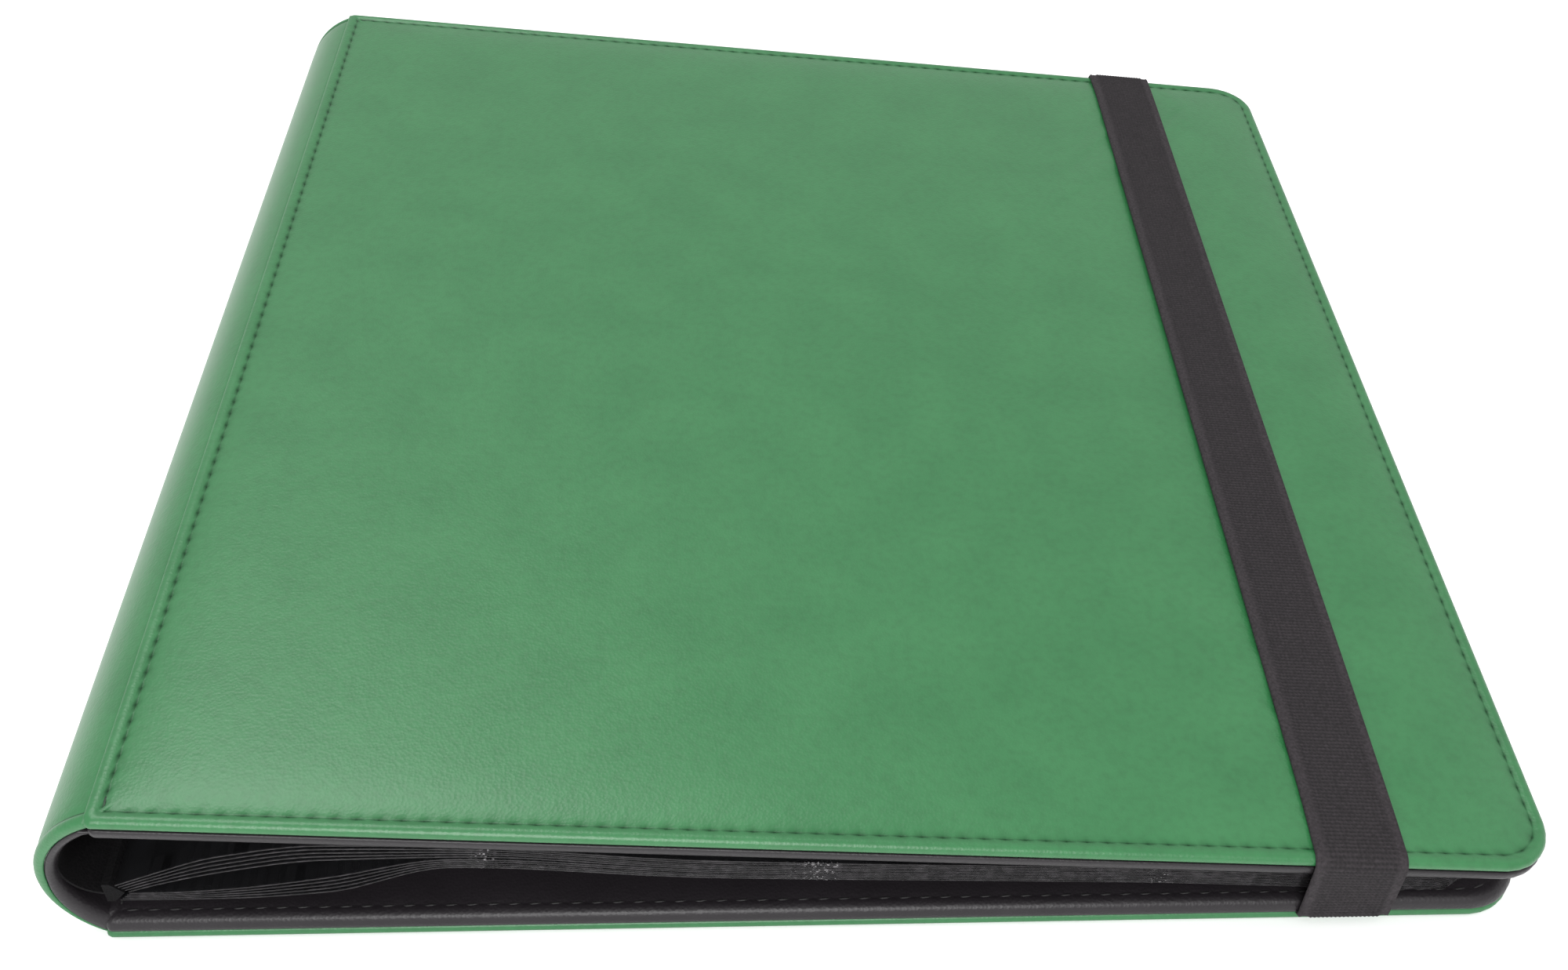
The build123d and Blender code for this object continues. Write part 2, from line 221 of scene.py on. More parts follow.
def make_piece(name, points, faces, material, smooth=True):
    """A mesh object in the shared frame, with its faces wound as they are given."""
    mesh = bpy.data.meshes.new(name)
    mesh.from_pydata(np.asarray(points, float).reshape(-1, 3).tolist(), [], faces)
    mesh.materials.append(material)
    mesh.polygons.foreach_set("use_smooth", [smooth] * len(mesh.polygons))
    piece = bpy.data.objects.new(name, mesh)
    bpy.context.scene.collection.objects.link(piece)
    mesh.update()
    mesh.validate()
    return piece


def point_values(piece, name, values):
    """Stores one number for each point, for the material to read."""
    attribute = piece.data.attributes.new(name, "FLOAT", "POINT")
    attribute.data.foreach_set("value", np.asarray(values, np.float32).ravel())


def turned(faces, flip):
    """The faces as lists, turned over if flip."""
    faces = np.asarray(faces)
    return (faces[:, ::-1] if flip else faces).tolist()


# ---- materials ----
class Shader:
    """A material's nodes, with short calls to add and join them."""

    def __init__(self, name):
        self.material = bpy.data.materials.new(name)
        self.material.use_nodes = True
        self.tree = self.material.node_tree
        self.surface = self.tree.nodes["Principled BSDF"]

    def join(self, node, inputs):
        for key, value in inputs.items():
            if isinstance(value, bpy.types.NodeSocket):
                self.tree.links.new(value, node.inputs[key])
            else:
                node.inputs[key].default_value = value

    def add(self, kind, inputs=(), **settings):
        node = self.tree.nodes.new("ShaderNode" + kind)
        for key, value in settings.items():
            setattr(node, key, value)
        self.join(node, dict(inputs))
        return node

    def place(self):
        return self.add("TexCoord").outputs["Object"]

    def noise(self, scale, detail=3.0, vector=None):
        node = self.add("TexNoise", {"Scale": scale, "Detail": detail})
        self.join(node, {"Vector": vector or self.place()})
        return node.outputs["Fac"]

    def cells(self, scale):
        node = self.add("TexVoronoi", {"Scale": scale, "Vector": self.place()})
        return node.outputs["Distance"]

    def attribute(self, name):
        return self.add("Attribute", attribute_name=name).outputs["Fac"]

    def ramp(self, factor, low, high, start=0.3, end=0.7):
        """A colour that goes from low to high as factor goes from start to end."""
        node = self.add("ValToRGB", {"Fac": factor})
        for stop, place, colour in zip(node.color_ramp.elements, (start, end), (low, high)):
            stop.position = place
            stop.color = (*colour, 1)
        return node.outputs["Color"]

    def mix(self, factor, one, other, kind="MIX"):
        node = self.add("MixRGB", {"Fac": factor, "Color1": one, "Color2": other}, blend_type=kind)
        return node.outputs["Color"]

    def maths(self, kind, *values):
        node = self.add("Math", operation=kind)
        self.join(node, dict(enumerate(values)))
        return node.outputs[0]

    def bump(self, height, distance, strength=1.0, normal=None):
        node = self.add("Bump", {"Height": height, "Distance": distance, "Strength": strength})
        if normal:
            self.join(node, {"Normal": normal})
        return node.outputs["Normal"]

    def finish(self, colour, roughness, normal=None, **more):
        self.join(self.surface, {"Base Color": colour, "Roughness": roughness})
        if normal:
            self.join(self.surface, {"Normal": normal})
        self.join(self.surface, {key.replace("_", " "): value for key, value in more.items()})
        return self.material


def green_leatherette():
    shader = Shader("green_leatherette")
    mottle = shader.noise(55, 5)
    speck = shader.noise(520, 3)
    colour = shader.ramp(mottle, (0.0186, 0.124, 0.0385), (0.0240, 0.141, 0.0455), 0.3, 0.7)
    flecks = shader.ramp(speck, (0.72, 0.74, 0.70), (1, 1, 1), 0.25, 0.6)
    colour = shader.mix(0.5, colour, flecks, "MULTIPLY")
    # painted shade: the crease attribute darkens the leatherette and dulls its shine in the stitch
    # line's crease, its needle holes and the spine's crease line
    dark = (0.003, 0.022, 0.007, 1)
    crease = shader.attribute("crease")
    colour = shader.mix(crease, colour, dark)
    grain = shader.maths("ADD", shader.cells(1500), shader.maths("MULTIPLY", speck, 0.8))
    normal = shader.bump(grain, 0.00009, 0.4)
    roughness = shader.add("MapRange", {"Value": mottle, "To Min": 0.36, "To Max": 0.42})
    shine = shader.maths("SUBTRACT", 0.5, shader.maths("MULTIPLY", crease, 0.4))
    return shader.finish(colour, roughness.outputs["Result"], normal, Specular_IOR_Level=shine)


def black_leatherette():
    shader = Shader("black_lining")
    mottle = shader.noise(70, 4)
    colour = shader.ramp(mottle, (0.0102, 0.0085, 0.0102), (0.0138, 0.0117, 0.0138))
    grain = shader.maths("ADD", shader.cells(1500), shader.noise(500, 3))
    normal = shader.bump(grain, 0.00009, 0.5)
    return shader.finish(colour, 0.42, normal, Specular_IOR_Level=0.35)


def thread(name, dark, light):
    shader = Shader(name)
    twist = shader.noise(1800, 2)
    colour = shader.ramp(twist, dark, light)
    return shader.finish(colour, 0.62, shader.bump(twist, 0.0001, 0.6))


def black_cloth():
    shader = Shader("black_cloth")
    weave = shader.cells(1900)
    colour = shader.ramp(weave, (0.003, 0.003, 0.0033), (0.006, 0.0055, 0.006), 0.1, 0.8)
    normal = shader.bump(weave, 0.0001, 0.6)
    return shader.finish(colour, 0.85, normal, Specular_IOR_Level=0.1)


def leaf_black():
    shader = Shader("leaf_sheet")
    haze = shader.noise(90, 3)
    colour = shader.ramp(haze, (0.004, 0.004, 0.0045), (0.007, 0.007, 0.008))
    # the leaf's rim: weld beads with painted glints, as lighter dashes
    weld_and_glint_dashes = shader.ramp(shader.noise(700, 1), (0.009, 0.008, 0.009), (0.034, 0.031, 0.034), 0.42, 0.7)
    colour = shader.mix(shader.attribute("rim"), colour, weld_and_glint_dashes)
    normal = shader.bump(shader.noise(900, 2), 0.00004, 0.3)
    return shader.finish(colour, 0.5, normal, Specular_IOR_Level=0.25)


def clear_film():
    """Clear film, frosted in dots where it is welded down, the dots brightened as painted glints."""
    shader = Shader("pocket_film")
    weld = shader.attribute("weld")
    dots = shader.ramp(shader.noise(1500, 1), (0, 0, 0), (1, 1, 1), 0.56, 0.66)
    # painted glints with the frost: bright dots where the film is welded
    frost_and_glint_dots = shader.maths("MULTIPLY", weld, dots)
    colour = shader.mix(frost_and_glint_dots, (0.010, 0.010, 0.011, 1), (0.3, 0.29, 0.3, 1))
    clear = shader.maths("MAXIMUM", shader.maths("MULTIPLY", weld, 0.35), frost_and_glint_dots)
    alpha = shader.add("MapRange", {"Value": clear, "To Min": 0.10, "To Max": 0.9})
    wave = shader.bump(shader.noise(30, 2), 0.0006, 0.25)
    alpha = alpha.outputs["Result"]
    return shader.finish(colour, 0.22, wave, Alpha=alpha, Specular_IOR_Level=0.3)


def woven_elastic():
    shader = Shader("black_elastic")
    yarn = shader.noise(1500, 3)
    tone = shader.noise(120, 3)
    colour = shader.ramp(yarn, (0.0122, 0.0098, 0.0112), (0.031, 0.0255, 0.029))
    colour = shader.mix(0.5, colour, shader.ramp(tone, (0.7, 0.7, 0.72), (1, 1, 1)), "MULTIPLY")
    # painted shade in the troughs between the ribs
    gap = shader.attribute("gap")
    colour = shader.mix(gap, colour, (0.004, 0.0035, 0.004, 1))
    normal = shader.bump(yarn, 0.00012, 0.7)
    return shader.finish(colour, 0.8, normal, Specular_IOR_Level=0.3)


def foam():
    shader = Shader("foam")
    pores = shader.cells(900)
    colour = shader.ramp(pores, (0.62, 0.62, 0.58), (0.8, 0.8, 0.77), 0.1, 0.6)
    return shader.finish(colour, 0.9, shader.bump(pores, 0.0003, 0.6))


def greyboard():
    shader = Shader("greyboard")
    fibre = shader.noise(300, 6)
    colour = shader.ramp(fibre, (0.3, 0.28, 0.25), (0.46, 0.44, 0.4))
    return shader.finish(colour, 0.85, shader.bump(fibre, 0.0001, 0.5))


def pale_floor():
    shader = Shader("floor")
    haze = shader.noise(2, 2)
    colour = shader.ramp(haze, (0.95, 0.95, 0.95), (0.97, 0.97, 0.97))
    return shader.finish(colour, 0.7)


GREEN = green_leatherette()
BLACK = black_leatherette()
THREAD = thread("green_thread", (0.002, 0.009, 0.004), (0.014, 0.050, 0.019))
INNER_THREAD = thread("black_thread", (0.004, 0.004, 0.004), (0.012, 0.011, 0.012))
CLOTH = black_cloth()
LEAF = leaf_black()
FILM_CLEAR = clear_film()
ELASTIC = woven_elastic()
FOAM = foam()
BOARD = greyboard()


# ---- outline of a cover ----
def run_shares(stitches):
    """Where the columns of a run of stitches lie along it."""
    return (np.arange(stitches)[:, None] + np.array(STITCH_STEPS)).ravel() / stitches


def line_run(start, end, stitches):
    return np.array(start) + np.multiply.outer(run_shares(stitches), np.array(end) - np.array(start))


def arc_run(centre, radius, start, stitches):
    angle = math.radians(start) + math.radians(90) * run_shares(stitches)
    return np.array(centre) + radius * np.stack([np.cos(angle), np.sin(angle)], -1)


def outline(inset, fold, fold_radius):
    """The closed outline inset from the edges, with its fold side at U = fold."""
    fore, half, radius = COVER_WIDTH - inset, HALF_LENGTH - inset, FORE_RADIUS - inset
    runs = [
        line_run((fold + fold_radius, -half), (fore - radius, -half), NEAR_STITCHES),
        arc_run((fore - radius, -half + radius), radius, -90, CORNER_STITCHES),
        line_run((fore, -half + radius), (fore, half - radius), FORE_STITCHES),
        arc_run((fore - radius, half - radius), radius, 0, CORNER_STITCHES),
        line_run((fore - radius, half), (fold + fold_radius, half), NEAR_STITCHES),
        arc_run((fold + fold_radius, half - fold_radius), fold_radius, 90, 1),
        line_run((fold, half - fold_radius), (fold, -half + fold_radius), FOLD_STITCHES),
        arc_run((fold + fold_radius, -half + fold_radius), fold_radius, 180, 1),
    ]
    return np.concatenate(runs)


def column_kinds():
    """For each column of the outline: how near it is to a needle hole, and to the fold side."""
    counts = [NEAR_STITCHES, CORNER_STITCHES, FORE_STITCHES, CORNER_STITCHES, NEAR_STITCHES]
    hole = np.tile(HOLE_STEPS, sum(counts))
    corner = np.array(FOLD_CORNER_SHARES)
    fold_hole = np.tile(HOLE_STEPS, FOLD_STITCHES)
    plain = np.zeros(len(corner))
    at_fold = np.concatenate([np.zeros(len(hole)), corner, np.ones(len(fold_hole)), corner[::-1]])
    hole = np.concatenate([hole, plain, fold_hole, plain])
    return hole, at_fold


SKIN_EDGE = outline(0, SKIN_FOLD_EDGE, FOLD_RADIUS)
LINING_EDGE = outline(0, LINING_FOLD_EDGE, FOLD_RADIUS)
STITCH_LINE = outline(STITCH_INSET, FOLD_STITCH, STITCH_FOLD_RADIUS)
HOLE, AT_FOLD = column_kinds()
PANEL_CENTRE = np.array([COVER_WIDTH / 2, 0])
PANEL_HALF = COVER_WIDTH / 2 - STITCH_INSET


def crown(u, v):
    """How far the padding has risen, from 0 at the stitch line to 1 in the middle."""
    across = np.clip(np.minimum(u - FOLD_STITCH, COVER_WIDTH - STITCH_INSET - u), 0, None)
    along = np.clip(HALF_LENGTH - STITCH_INSET - np.abs(v), 0, None)
    return (1 - np.exp(-across / CROWN_REACH)) * (1 - np.exp(-along / CROWN_REACH))


def waves(u, v):
    """Slow unevenness of the padding, from -1 to 1."""
    first = np.sin(u * 71 + 1.3) * np.cos(v * 58 + 0.4)
    second = np.sin(u * 37 - v * 44 + 2.1)
    third = np.cos(u * 113 + v * 96)
    return (first + second + 0.6 * third) / 2.6


def under_strap(u):
    """1 under the strap's middle, falling to 0 beside it."""
    off = np.abs(u - STRAP_MIDDLE) / (STRAP_WIDTH / 2)
    return 1 / (1 + np.exp((off - STRAP_PRESS_EDGE) * STRAP_PRESS_STEEPNESS))


def padded_depth(u, v, base, rise, strap):
    """Depth of the padded face: base at the stitch line, less the crown's rise."""
    risen = crown(u, v)
    press = 1 - strap * STRAP_PRESS * under_strap(u)
    return base - rise * risen * press - WAVE_HEIGHT * waves(u, v) * risen


# ---- the rolled edge, from the stitch line out and round to the seam: inset and depth in mm ----
SKIN_WALL = (
    (2.98, 0.44), (2.71, 0.39), (2.27, 0.156), (1.765, 0.054), (1.25, 0.093), (0.776, 0.27),
    (0.386, 0.568), (0.12, 0.957), (0.004, 1.4), (0.05, 1.85), (0.25, 2.27), (0.59, 2.61),
    (0.95, 2.45), (1.15, 1.6), (1.9, 1.35), (2.7, 1.35),
)
SKIN_FOLD = (
    (2.9, 0.34), (2.5, 0.18), (2.0, 0.05), (1.5, 0.0), (1.0, 0.05), (0.6, 0.16),
    (0.3, 0.3), (0.1, 0.45), (0.0, 0.6), (0.06, 0.76), (0.3, 0.87), (0.8, 0.9),
    (1.2, 0.88), (1.7, 0.87), (2.2, 0.87), (2.7, 0.88),
)
LINING_WALL = (
    (2.95, 6.2), (2.5, 6.21), (2.0, 6.17), (1.4, 6.03), (0.95, 5.83), (0.5, 5.4),
    (0.18, 4.8), (0.03, 4.2), (0.0, 3.6), (0.05, 3.2), (0.25, 2.92), (0.75, 2.82),
    (0.85, 3.4), (1.1, 4.7), (1.8, 5.4), (2.7, 5.45),
)
LINING_FOLD = (
    (2.9, 6.33), (2.5, 6.4), (2.0, 6.47), (1.5, 6.5), (1.0, 6.46), (0.55, 6.36),
    (0.25, 6.25), (0.06, 6.12), (0.0, 6.0), (0.08, 5.88), (0.3, 5.78), (0.8, 5.75),
    (1.2, 5.75), (1.7, 5.76), (2.2, 5.76), (2.7, 5.76),
)
FIELD_ROWS = np.array([0.3, 0.7, 1.3, 2.1, 3.2, 4.8, 7, 10, 14, 20, 30, 46, 70, 100, 128, 143]) * MM


def field_row(reach):
    """The outline reach inside the stitch line, on its way to the panel's middle."""
    return PANEL_CENTRE + (STITCH_LINE - PANEL_CENTRE) * (1 - reach / PANEL_HALF)


def rim_rows(edge, wall, fold):
    """Rows of the rolled edge from the edge line: places on the outline, and depth."""
    rows, depths = [], []
    for (inset, depth), (fold_inset, fold_depth) in zip(wall, fold):
        at = inset + (fold_inset - inset) * AT_FOLD
        share = (at * MM / STITCH_INSET)[:, None]
        rows.append(edge + (STITCH_LINE - edge) * share)
        depths.append((depth + (fold_depth - depth) * AT_FOLD) * MM)
    return rows, depths


def cover_shell(cover, layer, edge, wall, fold, face_depth, thickness, material):
    """A leatherette layer of a cover: its padded face, rolled edge and inner face, closed.
    face_depth gives the depth of the outer face, and thickness points away from it."""
    pucker = PUCKER if thickness > 0 else -LINING_PUCKER
    # crease_shades holds the painted shade of each row: along the stitch line, at its needle holes and
    # on the rolled edge
    rows, depths, crease_shades = [], [], []
    for reach in FIELD_ROWS[::-1]:
        row = field_row(reach)
        dent = pucker * math.exp(-reach / PUCKER_REACH) * HOLE
        rows.append(row)
        depths.append(face_depth(row[:, 0], row[:, 1]) + dent)
        crease_shades.append(math.exp(-reach / CREASE_SHADE_REACH) * (FIELD_CREASE_SHADE[0] + FIELD_CREASE_SHADE[1] * HOLE))
    rows.append(STITCH_LINE)
    stitch_depth = face_depth(STITCH_LINE[:, 0], STITCH_LINE[:, 1]) + pucker * HOLE
    depths.append(stitch_depth)
    crease_shades.append(LINE_CREASE_SHADE[0] + LINE_CREASE_SHADE[1] * HOLE)
    rim, rim_depth = rim_rows(edge, wall, fold)
    rows += rim
    depths += rim_depth
    crease_shades += [crease * HOLE for crease in EDGE_CREASE_SHADES]
    crease_shades += [np.zeros(len(HOLE))] * (len(rim) - len(EDGE_CREASE_SHADES))
    for reach in [0, *FIELD_ROWS[3::3]]:
        row = field_row(reach)
        rows.append(row)
        depths.append(face_depth(row[:, 0], row[:, 1]) + thickness)
        crease_shades.append(np.zeros(len(HOLE)))

    rows, depths = np.array(rows), np.array(depths)
    points = cover.place(rows[..., 0], rows[..., 1], depths)
    count, columns = points.shape[:2]
    middles = [
        cover.place(*PANEL_CENTRE, depths[row].mean())[None] for row in (0, -1)
    ]
    faces = turned(grid_faces(count, columns, True), cover.flip == (thickness > 0))
    hub = count * columns
    for first, centre, reverse in ((0, hub, False), (hub - columns, hub + 1, True)):
        column = np.arange(columns)
        ring = np.stack([np.full(columns, centre), first + (column + 1) % columns, first + column], -1)
        faces += turned(ring, (cover.flip == (thickness > 0)) != reverse)
    points = np.concatenate([points.reshape(-1, 3), *middles])
    name = f"{cover.name}_{layer}_leather"
    piece = make_piece(name, points, faces, material)
    point_values(piece, "crease", np.append(np.concatenate(crease_shades), [0, 0]))
    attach(piece, cover.name)
    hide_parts(f"{cover.name}_{layer}")
    return cover.place(STITCH_LINE[:, 0], STITCH_LINE[:, 1], stitch_depth)


def skin_face(rise, strap):
    def face(u, v):
        return padded_depth(u, v, STITCH_DEPTH, rise, strap)

    return face


def lining_face(u, v):
    return padded_depth(u, v, LINING_DEPTH, -LINING_RISE, 0)


# ---- stitches ----
def stitch_spans():
    """First columns of the stitches: every fourth column outside the fold corners."""
    straight = 2 * (NEAR_STITCHES + CORNER_STITCHES) + FORE_STITCHES
    first = np.arange(straight) * COLUMNS
    after = (straight + 1) * COLUMNS
    return np.concatenate([first, after + np.arange(FOLD_STITCHES) * COLUMNS])


def stitch_bars(line, outward):
    """Points and faces of a rounded bar of thread between each two needle holes of a line."""
    points, faces = [], []
    around = np.arange(STITCH_SIDES) * 2 * math.pi / STITCH_SIDES
    for start in stitch_spans():
        a, b = line[start], line[(start + COLUMNS) % len(line)]
        along = (b - a) / np.linalg.norm(b - a)
        side = np.cross(outward, along)
        along = along + side * STITCH_SLANT
        middle = (a + b) / 2
        first = len(points) * STITCH_SIDES
        for place, size in STITCH_STATIONS:
            sink = STITCH_SINK * place**4
            centre = middle + along * place * STITCH_LENGTH / 2 - outward * sink
            ring = np.multiply.outer(np.cos(around), side * STITCH_WIDTH / 2 * size)
            ring += np.multiply.outer(np.sin(around), outward * STITCH_HEIGHT / 2 * size)
            points.append(centre + ring)
        faces += turned(grid_faces(len(STITCH_STATIONS), STITCH_SIDES, True, first), True)
        last = first + (len(STITCH_STATIONS) - 1) * STITCH_SIDES
        faces.append(list(range(first, first + STITCH_SIDES)))
        faces.append(list(range(last + STITCH_SIDES - 1, last - 1, -1)))
    return np.concatenate(points), faces


def stitching(cover, outer_line, inner_line):
    """Both rows of stitches of a cover, outside and inside, as one piece."""
    outer_points, outer_faces = stitch_bars(outer_line, -cover.inward)
    inner_points, inner_faces = stitch_bars(inner_line, cover.inward)
    faces = outer_faces + [[i + len(outer_points) for i in face] for face in inner_faces]
    points = np.concatenate([outer_points, inner_points])
    piece = make_piece(f"{cover.name}_stitches", points, faces, THREAD)
    piece.data.materials.append(INNER_THREAD)
    inside = np.arange(len(faces)) >= len(outer_faces)
    piece.data.polygons.foreach_set("material_index", inside.astype(np.int32))
    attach(piece, cover.name)
    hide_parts(f"{cover.name}_stitching")


def build_cover(cover, rise, strap):
    face = skin_face(rise, strap)
    outer = cover_shell(
        cover, "skin", SKIN_EDGE, SKIN_WALL, SKIN_FOLD, face, SKIN, GREEN
    )
    inner = cover_shell(
        cover, "lining", LINING_EDGE, LINING_WALL, LINING_FOLD, lining_face, -LINING, BLACK,
    )
    stitching(cover, outer, inner)


# ---- spine ----
SKIN_END = (
    (60, 0), (20, 0), (8, 0), (4.6, 0.03), (3.4, 0.14), (2.7, 0.3), (2.4, 0.34), (2.1, 0.22),
    (1.7, 0.06), (1.2, 0.08), (0.7, 0.28), (0.3, 0.62), (0.08, 1.05), (0.0, 1.5), (0.06, 1.95),
    (0.25, 2.25), (0.9, 2.2), (1.0, 1.4), (1.8, 0.98), (6, 0.9), (60, 0.9),
)
SKIN_CREASE = 6  # the station of the crease line
LINING_END = (
    (60, 3.9), (20, 3.9), (10, 3.92), (6, 4.0), (4.2, 4.2), (3.0, 4.4), (2.0, 4.45),
    (1.2, 4.3), (0.5, 3.95), (0.12, 3.5), (0.0, 3.1), (0.06, 2.7), (0.3, 2.35), (1.2, 2.5),
    (3, 3.1), (20, 3.1), (60, 3.1),
)
SPINE_END_INSET = 0.8 * MM
TURNED_SHARE = 0.3
TURNED_DEPTH = 3.2 * MM
END_REACH = 2 * MM  # how far in from a spine end its turned edges reach
SPINE_STEP = math.radians(2.0)
THIN_STEP = math.radians(0.1)
TAB_STATIONS = (1.0, 0.7, 0.4, 0.15)
LINING_GAP = 1.8 * MM  # from the skin's outside to the lining's, under the cover
SPINE_CREASE_SHADE = 0.8


def fold_angle(radial, tab_depth, front):
    """The angle below or above the horizontal where a layer of the spine meets its tab."""
    radius = SPINE_RADIUS - radial
    if not front:
        return np.arccos((SPINE_CENTRE[1] - tab_depth) / radius) - math.pi / 2
    x, z = front_x - FOLD_X - SPINE_CENTRE[0], front_z - SPINE_CENTRE[1]
    to_top = x * math.sin(FRONT_TILT) + z * math.cos(FRONT_TILT) - tab_depth
    return math.pi / 2 + FRONT_TILT - np.arccos(to_top / radius)


def spine_half(layer, front, ends, tab_gap, thickness, material):
    """The lower or upper half of a spine layer, from inside a cover to half height."""
    inset, radial = np.array(ends).T * MM
    inset = np.concatenate([inset, inset[::-1]])
    radial = np.concatenate([radial, radial[::-1]])
    side = np.repeat([-1.0, 1.0], len(ends))
    face = min(radial[0], radial[-1])
    flat = np.clip(radial, face, face + thickness)
    turned_edge = (inset < END_REACH) & (radial < TURNED_DEPTH)
    taper = 0 if front else np.where(turned_edge, radial * (1 - TURNED_SHARE), 0)
    angle = fold_angle(flat, flat + tab_gap, front)
    meeting = fold_angle(radial - taper, radial - taper + tab_gap, front)
    steps = int(abs(angle[0]) / SPINE_STEP)
    shares = np.concatenate([np.arange(steps) / steps, [1 - THIN_STEP / abs(angle[0]), 1.0]])
    spine_half_length = HALF_LENGTH - SPINE_END_INSET
    cover = front_cover if front else back_cover
    rows = []
    for back in TAB_STATIONS:
        at = np.full(len(flat), TAB_LENGTH * back)
        end = (spine_half_length - TAB_INSET - inset * (1 - TAB_INSET / spine_half_length)) * side
        rows.append(cover.place(at, end, flat + tab_gap))
    for share in shares:
        turn = meeting * (1 - share)
        thinned = radial - taper * (1 - share)
        x = SPINE_CENTRE[0] - (SPINE_RADIUS - thinned) * np.cos(turn) + FOLD_X
        z = SPINE_CENTRE[1] + (SPINE_RADIUS - thinned) * np.sin(turn)
        rows.append(np.stack([x, (spine_half_length - inset) * side, z], -1))
    points = np.array(rows)
    count, columns = points.shape[:2]
    faces = turned(grid_faces(count, columns, True), front != (layer == "lining"))
    name = f"spine_{layer}_{'upper' if front else 'lower'}"
    piece = make_piece(name, points, faces, material)
    # painted shade along the skin's crease groove near each end of the spine
    crease = np.zeros((count, columns))
    if layer == "skin":
        crease[:, [SKIN_CREASE, -1 - SKIN_CREASE]] = SPINE_CREASE_SHADE
    point_values(piece, "crease", crease)
    pivot_angle = FRONT_PIVOT if front else -BACK_PIVOT
    pivot = SPINE_CENTRE + PIVOT_RADIUS * np.array([-math.cos(pivot_angle), math.sin(pivot_angle)])
    up = np.array([math.sin(pivot_angle), math.cos(pivot_angle)])
    low, high = (pivot + up * reach for reach in (-SPINE_BEND, SPINE_BEND))
    start, end = ((point[0] + FOLD_X, 0, point[1]) for point in (low, high))
    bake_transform(piece)
    return piece


def build_spine():
    for front in (False, True):
        skin = spine_half("skin", front, SKIN_END, SKIN, SKIN, GREEN)
        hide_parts("spine_skin")
        lining = spine_half(
            "lining", front, LINING_END, LINING_GAP, LINING, BLACK
        )
        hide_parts("spine_lining")


# ---- leaves ----
def leaf_line(node):
    """The height of a CAD leaf's middle along X, as two lists."""
    places = np.array([v.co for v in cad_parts[node].data.vertices])
    xs = np.round(places[:, 0], 5)
    found = [(x, places[xs == x, 2]) for x in np.unique(xs)]
    both = [(x, (z.min() + z.max()) / 2) for x, z in found if SHEET * 0.5 < np.ptp(z) < SHEET * 2]
    return np.array(both).T


def leaf_half_width(x):
    """Half the leaf's length along Y at x, less at its rounded fore corners."""
    into = np.clip(x - (FOLD_X + LEAF_FORE - LEAF_CORNER), 0, LEAF_CORNER)
    return LEAF_HALF - LEAF_CORNER + np.sqrt(LEAF_CORNER**2 - into**2)


def thin_grid(xs, shares, middle, low, high):
    """A closed thin plate over a grid: shares of the half width along Y, from low to high."""
    y = shares * leaf_half_width(xs)[:, None]
    x = np.broadcast_to(xs[:, None], y.shape)
    z = np.broadcast_to(middle(xs)[:, None], y.shape)
    top = np.stack([x, y, z + high], -1)
    under = np.stack([x, y, z + low], -1)
    points = np.concatenate([top, under[:, ::-1]], 1)
    rows, columns = points.shape[:2]
    return points, band_faces(rows, columns, False)


def band_faces(rows, columns, flip):
    """Faces of a closed band: each row runs along its top and back along its underside."""
    faces = turned(grid_faces(rows, columns, True), flip)
    across = np.arange(columns // 2 - 1)
    for row, cap_flip in ((0, not flip), (rows - 1, flip)):
        near = row * columns + across
        far = (row + 1) * columns - 1 - across
        faces += turned(np.stack([near, near + 1, far - 1, far], -1), cap_flip)
    return faces


def leaf_stations(start, end):
    """Places along X, close together where the leaf bends."""
    near = np.arange(start, min(end, FOLD_X + 90 * MM), 3 * MM)
    rest = np.arange(near[-1] + 3 * MM if len(near) else start, end, 9 * MM)
    corner = FOLD_X + LEAF_FORE - LEAF_CORNER * (1 - np.sin(np.radians([0, 20, 40, 60, 75])))
    extra = corner[(corner > start) & (corner < end)]
    return np.unique(np.round(np.concatenate([near, rest, extra, [start, end]]), 6))


def pocket_lines():
    """Edges of the pocket columns along X from the fold, and of the rows along Y."""
    fore = LEAF_FORE - POCKET_MARGIN
    across = np.linspace(FIRST_POCKET, fore, POCKET_COLUMNS + 1)
    edge = LEAF_HALF - POCKET_MARGIN
    return across, np.linspace(-edge, edge, POCKET_ROWS + 1)


def film_strip(start, end, middle, side, row_edges):
    """One column of pockets: a film welded down at its rows' edges and its far side."""
    xs = leaf_stations(start, end)
    steps = np.array([-PUFF_REACH, -WELD, WELD, PUFF_REACH])
    bright_edge_start = LEAF_HALF - FROST_AND_GLINT_EDGE
    ys = [-LEAF_HALF, LEAF_HALF, 0.0, bright_edge_start, -bright_edge_start, bright_edge_start - WELD / 4, WELD / 4 - bright_edge_start]
    for edge in row_edges:
        ys += [*(edge + steps)]
    ys = np.unique(np.clip(ys, -LEAF_HALF, LEAF_HALF))
    to_row = np.abs(ys[:, None] - row_edges[None, :]).min(1)
    to_end = np.abs(ys) > LEAF_HALF - POCKET_MARGIN
    free = np.clip((to_row - WELD) / (PUFF_REACH - WELD), 0, 1) * ~to_end
    # the film's ends are brightest: frost and painted glint
    frost_and_glint = np.where(np.abs(ys) > LEAF_HALF - FROST_AND_GLINT_EDGE * 1.01, 1.0, 0.12)
    open_side = np.clip((end - 2 * WELD - xs) / PUFF_REACH, 0, 1)
    lift = np.multiply.outer(open_side, free) * PUFF
    low, high = SHEET / 2 + lift, SHEET / 2 + FILM + lift
    if side < 0:
        low, high = -high, -low
    points, faces = thin_grid(xs, ys / LEAF_HALF, middle, low, high)
    at_seam = np.where(xs > end - SEAM_MARKS, 1.0, 0.1)
    weld = (1 - lift / PUFF) * frost_and_glint * at_seam[:, None]
    return points.reshape(-1, 3), faces, np.concatenate([weld, weld[:, ::-1]], 1).ravel()


